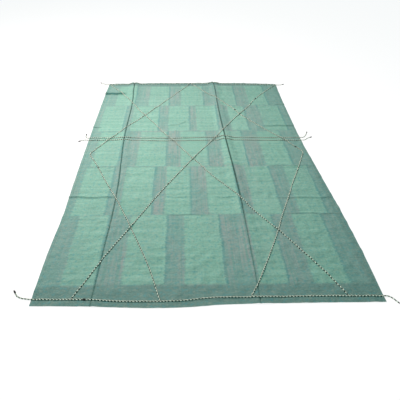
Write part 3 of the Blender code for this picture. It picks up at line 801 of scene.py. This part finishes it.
# --------------------------------------
# The tails: the same cords running on past the sides, limp on the ground, each with its cut end
# whipped with black thread and a little of the cotton left frayed beyond the whipping.
TIP_LENGTH = 0.014
TIP_RADIUS = 0.0049
TIP_TURNS = 9  # turns of thread in a whipping
TIP_RIB = 0.00045
TIP_SIDES = 16
TIP_OVERLAP = 0.004  # the whipping starts this far back on the cord
YARNS = 9  # frayed yarn ends past each whipping, each turned YARN_TURN from the last
YARN_TURN = 2.4
YARN_ROOT = 0.002  # they start this far inside it
YARN_LENGTH = 0.009
YARN_SPREAD = (0.0015, 0.0035)  # from the tail's middle at their root, and how much more at their end
YARN_FLATNESS = 0.35  # share of the spread that goes up and down
YARN_RADII = (0.0007, 0.0003)


def dye_thread(name, colour, fleck, pitch):
    """Material of waxed thread: fine twist lines across it and paler flecks of wear."""
    material, tree, shader = new_material(name, 0.62)
    place = add_node(tree, "TexCoord", {}).outputs["Object"]
    twist = grain(place, (1.0 / pitch, 1.0 / pitch, 1.0 / pitch), 3.0)
    mixed = blend(sharpened(twist, 0.45, 0.8), colour, fleck)
    feed(shader, {"Base Color": mixed, "Normal": bumped(0.4, 0.0003, twist)})
    return material


def make_whipping(name, start, direction):
    """Whipping: a ribbed profile turned about the tail's line, with frayed yarn ends past it."""
    share = np.linspace(0.0, 1.0, 6 * TIP_TURNS + 1)
    ends = np.sqrt(np.clip(1.0 - (2.0 * share - 1.0) ** 10, 0.0, 1.0))
    ribbed = TIP_RADIUS + TIP_RIB * np.abs(np.sin(np.pi * TIP_TURNS * share)) - TIP_RIB
    radius = np.maximum(ribbed * ends, 0.0004)
    axis = start + direction * ((TIP_LENGTH + TIP_OVERLAP) * share[:, None] - TIP_OVERLAP)
    points = [tube_rings(axis, radius, TIP_SIDES).reshape(-1, 3)]
    faces = tube_faces(len(axis), TIP_SIDES)
    sideways = np.cross(direction, (0.0, 0.0, 1.0))
    grow = np.linspace(0.0, 1.0, 5)[:, None]
    forward = TIP_LENGTH - YARN_ROOT + YARN_LENGTH * grow
    outward = YARN_SPREAD[0] + YARN_SPREAD[1] * grow ** 1.5
    for yarn in range(YARNS):
        angle = yarn * YARN_TURN
        spread = np.cos(angle) * sideways + np.array([0.0, 0.0, YARN_FLATNESS * np.sin(angle)])
        line = start + direction * forward + spread * outward
        faces += tube_faces(5, 4, sum(len(block) for block in points))
        points.append(tube_rings(line, np.linspace(*YARN_RADII, 5), 4).reshape(-1, 3))
    item = new_piece(name, np.vstack(points), faces, [black_thread])
    return item


black_thread = dye_thread("waxed_black_thread", (0.006, 0.008, 0.007, 1.0), (0.035, 0.04, 0.036, 1.0),
                          0.0012)
for name, (line, start) in tail_lines.items():
    to_left = name.endswith("left")
    panel = "left_panel" if to_left else "right_panel"
    tail = make_braid(name + "_braid", line, start, CROSS_FACING)
    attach(tail, panel)
    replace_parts(tail, name)
    end, inner = (line[0], line[1]) if to_left else (line[-1], line[-2])
    direction = (end - inner) / np.linalg.norm(end - inner)
    tip = make_whipping(name.replace("tail_", "whipping_"), end, direction)
    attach(tip, panel)
    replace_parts(tip, name.replace("tail_", "tip_"))

# --------------------------------------
# The ties: a few turns of black thread taken over a cord and down through the cloth, where the
# sewing has been mended or made fast.
TIE_THREAD = 0.00085  # radius of the thread
TIE_RADIUS = CORD_RADIUS + 0.0009
TIE_LEAN = 0.0006  # how far a turn leans along the cord
TIE_STAGGER = 0.0003  # and stands out from its neighbours
# The cord that each tie holds, about where, and its turns of thread
TIES = {
    "tie_left_chevron": ("left_chevron", (-0.8425, -0.177), 5, "left_panel"),
    "tie_near_cord": ("near_cord", (-0.7, -1.3015), 9, "left_panel"),
    "tie_diagonal_a_near": ("diagonal_a", (-0.252, -0.375), 6, "middle_panel"),
    "tie_diagonal_a_far": ("diagonal_a", (0.676, 0.958), 7, "right_panel"),
    "tie_right_chevron_far": ("right_chevron", (0.422, 0.724), 9, "right_panel"),
    "tie_right_chevron_side": ("right_chevron", (0.886, 0.087), 8, "right_panel"),
    "tie_waist_far_cord": ("waist_far_cord", (0.7, 0.229), 7, "right_panel")}


def make_tie(name, middle, direction, turns):
    """Arches of thread side by side over a cord: straight feet, then half a circle about its middle."""
    sideways = np.array([-direction[1], direction[0], 0.0])
    points, faces = [], []
    for turn in range(turns):
        shift = (turn - 0.5 * (turns - 1)) * 2.0 * TIE_THREAD
        lean = TIE_LEAN * math.sin(2.7 * turn)
        radius = TIE_RADIUS + TIE_STAGGER * math.sin(1.9 * turn)
        angle = np.linspace(-0.15 * np.pi, 1.15 * np.pi, 13)[:, None]
        arch = (middle + direction * (shift + lean * np.cos(angle))
                + sideways * radius * np.cos(angle)
                + np.array([0.0, 0.0, PRESSED]) * TIE_RADIUS * np.sin(angle))
        faces += tube_faces(len(arch), 6, sum(len(block) for block in points))
        points.append(tube_rings(arch, TIE_THREAD, 6, np.broadcast_to(direction, arch.shape)).reshape(-1, 3))
    item = new_piece(name + "_thread", np.vstack(points), faces, [black_thread])
    return item


def tie_cord(name, cord, place, turns, panel):
    """Put a tie on the point of a cord that is nearest to a place."""
    line = cord_lines[cord]
    at = nearest(np.hypot(line[:, 0] - place[0], line[:, 1] - place[1]), 0.0)
    direction = line[at + 1] - line[at - 1]
    tie = make_tie(name, line[at], direction / np.linalg.norm(direction), turns)
    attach(tie, panel)
    return tie


for name, (cord, place, turns, panel) in TIES.items():
    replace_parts(tie_cord(name, cord, place, turns, panel), name)
tie_cord("lashing_far_middle", "far_cord", (-0.035, 1.325), 9, "middle_panel")
tie_cord("lashing_chevron_left_start", "left_chevron", (-0.055, 1.304), 4, "middle_panel")
tie_cord("lashing_chevron_right_start", "right_chevron", (-0.014, 1.305), 4, "middle_panel")

# --------------------------------------
# The sewing: green cotton thread.  Short stitches hold the turned hems down, and small loops over
# the cords hold them to the cloth.
HEM_STITCH = 0.0062  # length of one stitch
HEM_STITCH_STEP = 0.0105
STITCH_INSET = 0.005  # of the stitches from a hem's inner edge
HEM_THREAD = 0.00062  # radius of the thread
LOOP_STEP = 0.046  # from one loop over a cord to the next
LOOP_THREAD = 0.0005
STITCH_ARCH, STITCH_SINK = 0.0009, 0.0005  # a stitch's rise, and the depth of its ends in the cloth
LOOP_LEAN = 0.0006
LOOP_GAP = 0.00065  # from a cord's side to the middle of a loop's thread


def stitch_pattern():
    """A hem stitch along X: a tube whose middle is a shallow arch, closed at both ends."""
    along = np.linspace(-0.5, 0.5, 5)
    rise = STITCH_ARCH * (1.0 - 4.0 * along ** 2) - STITCH_SINK
    line = np.column_stack([HEM_STITCH * along, 0.0 * along, rise])
    return tube_rings(line, HEM_THREAD, 6).reshape(-1, 3), tube_faces(5, 6)


def loop_pattern():
    """A loop round a cord that runs along X: an arc a little wider than the cord, down to the cloth."""
    angle = np.linspace(-0.17 * np.pi, 1.17 * np.pi, 9)
    radius = CORD_RADIUS + LOOP_GAP
    line = np.column_stack([LOOP_LEAN * np.cos(angle), radius * np.cos(angle),
                            PRESSED * radius * np.sin(angle)])
    side = np.broadcast_to((1.0, 0.0, 0.0), line.shape)
    return tube_rings(line, LOOP_THREAD, 5, side).reshape(-1, 3), tube_faces(9, 5)


def sew(lines, step, pattern):
    """Copies of a pattern along lines, its X turned to the line: place + x * along + y * across + z * up."""
    shape, faces = pattern
    placed = []
    for line in lines:
        spaced = evenly_spaced(line, step)[1:-1]
        along, up, across = path_frames(spaced)
        placed.append(spaced[:, None, :] + shape[None, :, 0:1] * along[:, None, :]
                      + shape[None, :, 1:2] * across[:, None, :] + shape[None, :, 2:3] * up[:, None, :])
    return np.concatenate(placed), faces


def sewn_piece(name, copies, faces):
    """One piece from the copies of a pattern that lie on one part of the cloth."""
    count, size = copies.shape[:2]
    all_faces = [[corner + size * number for corner in face] for number in range(count) for face in faces]
    item = new_piece(name, copies.reshape(-1, 3), all_faces, [green_thread])
    return item


def on_cloth(x, y):
    """Points on the cloth's upper face."""
    return np.column_stack([x, y, cloth_top(x, y)])


green_thread = dye_thread("sea_green_sewing_thread", (0.07, 0.17, 0.135, 1.0), (0.17, 0.32, 0.26, 1.0),
                          0.001)
end_inset, side_inset = END_HEM - STITCH_INSET, SIDE_HEM - STITCH_INSET
across_x = np.linspace(-0.985, 0.955, 800)
along_y = np.linspace(-1.32, 1.3, 1000)
hem_lines = [on_cloth(across_x, read_off(NEAR_EDGE, across_x) + end_inset),
             on_cloth(across_x, read_off(FAR_EDGE, across_x) - end_inset),
             on_cloth(read_off(LEFT_EDGE, along_y) + side_inset, along_y),
             on_cloth(read_off(RIGHT_EDGE, along_y) - side_inset, along_y)]
for kind, lines, step, pattern in (("hem_stitches", hem_lines, HEM_STITCH_STEP, stitch_pattern()),
                                   ("cord_loops", list(cord_lines.values()), LOOP_STEP, loop_pattern())):
    copies, faces = sew(lines, step, pattern)
    middles = copies.mean(axis=1)
    on_left = middles[:, 0] < left_seam(middles[:, 1])
    on_right = middles[:, 0] > right_seam(middles[:, 1])
    blend_over(sewn_piece(kind + "_left", copies[on_left], faces), *LEFT_BEND)
    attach(sewn_piece(kind + "_middle", copies[~on_left & ~on_right], faces), "middle_panel")
    blend_over(sewn_piece(kind + "_right", copies[on_right], faces), *RIGHT_BEND)

# --------------------------------------
# The ground, the light and the camera: a plain white floor, two broad soft lights, one from the
# far left and one from above, and an even pale surround.
FLOOR_REACH = 60.0
LIGHT_COLOUR = (1.0, 0.806, 0.806)
FILL_COLOUR = (0.52, 0.96, 0.96, 1.0)  # of the surround's light; to the eye it is white
FILL_STRENGTH = 0.32
CAMERA_PLACE = (-0.14, -1.941, 1.547)
CAMERA_DOWN, CAMERA_TURN = 47.93, -0.67  # degrees below level, and about Z

floor_material, _, floor_shader = new_material("white_floor", 0.9)
feed(floor_shader, {"Base Color": (0.24, 0.24, 0.24, 1.0),
                    "Emission Color": (1.0, 0.985, 0.985, 1.0), "Emission Strength": 0.875})
corners = FLOOR_REACH * np.array([[-1.0, -1.0, 0.0], [1.0, -1.0, 0.0], [1.0, 1.0, 0.0], [-1.0, 1.0, 0.0]])
floor = new_piece("floor", corners, [[0, 1, 2, 3]], [floor_material])

world = bpy.data.worlds.new("white_surround")
bpy.context.scene.world = world
world.use_nodes = True
surround = world.node_tree
fill = surround.nodes["Background"]
feed(fill, {"Color": FILL_COLOUR, "Strength": FILL_STRENGTH})
backdrop = add_node(surround, "Background", {"Color": (1.0, 1.0, 1.0, 1.0), "Strength": 1.0})
seen = add_node(surround, "LightPath", {})
both = add_node(surround, "MixShader", {0: seen.outputs["Is Camera Ray"], 1: fill.outputs[0],
                                        2: backdrop.outputs[0]})
feed(surround.nodes["World Output"], {"Surface": both.outputs[0]})


def soft_light(name, place, size, power):
    """A round area light that looks at the middle of the sheet."""
    lamp = bpy.data.lights.new(name, "AREA")
    lamp.shape = "DISK"
    lamp.size = size
    lamp.energy = power
    lamp.color = LIGHT_COLOUR
    item = bpy.data.objects.new(name, lamp)
    bpy.context.scene.collection.objects.link(item)
    item.location = place
    item.rotation_euler = (math.atan2(math.hypot(place[0], place[1]), place[2]), 0.0,
                           math.atan2(-place[1], -place[0]) - math.pi / 2)


soft_light("key_far_left", (-3.15, 1.75, 3.35), 1.3, 96.0)
soft_light("fill_overhead", (-0.95, 0.7, 2.54), 1.0, 68.0)

camera = bpy.data.cameras.new("camera")
camera.sensor_width = 36.0
camera.lens = 25.02
camera.shift_x = 0.038
camera_item = bpy.data.objects.new("camera", camera)
bpy.context.scene.collection.objects.link(camera_item)
camera_item.location = CAMERA_PLACE
camera_item.rotation_euler = (math.radians(90.0 - CAMERA_DOWN), 0.0, math.radians(CAMERA_TURN))
bpy.context.scene.camera = camera_item
bpy.context.scene.view_settings.view_transform = "Standard"
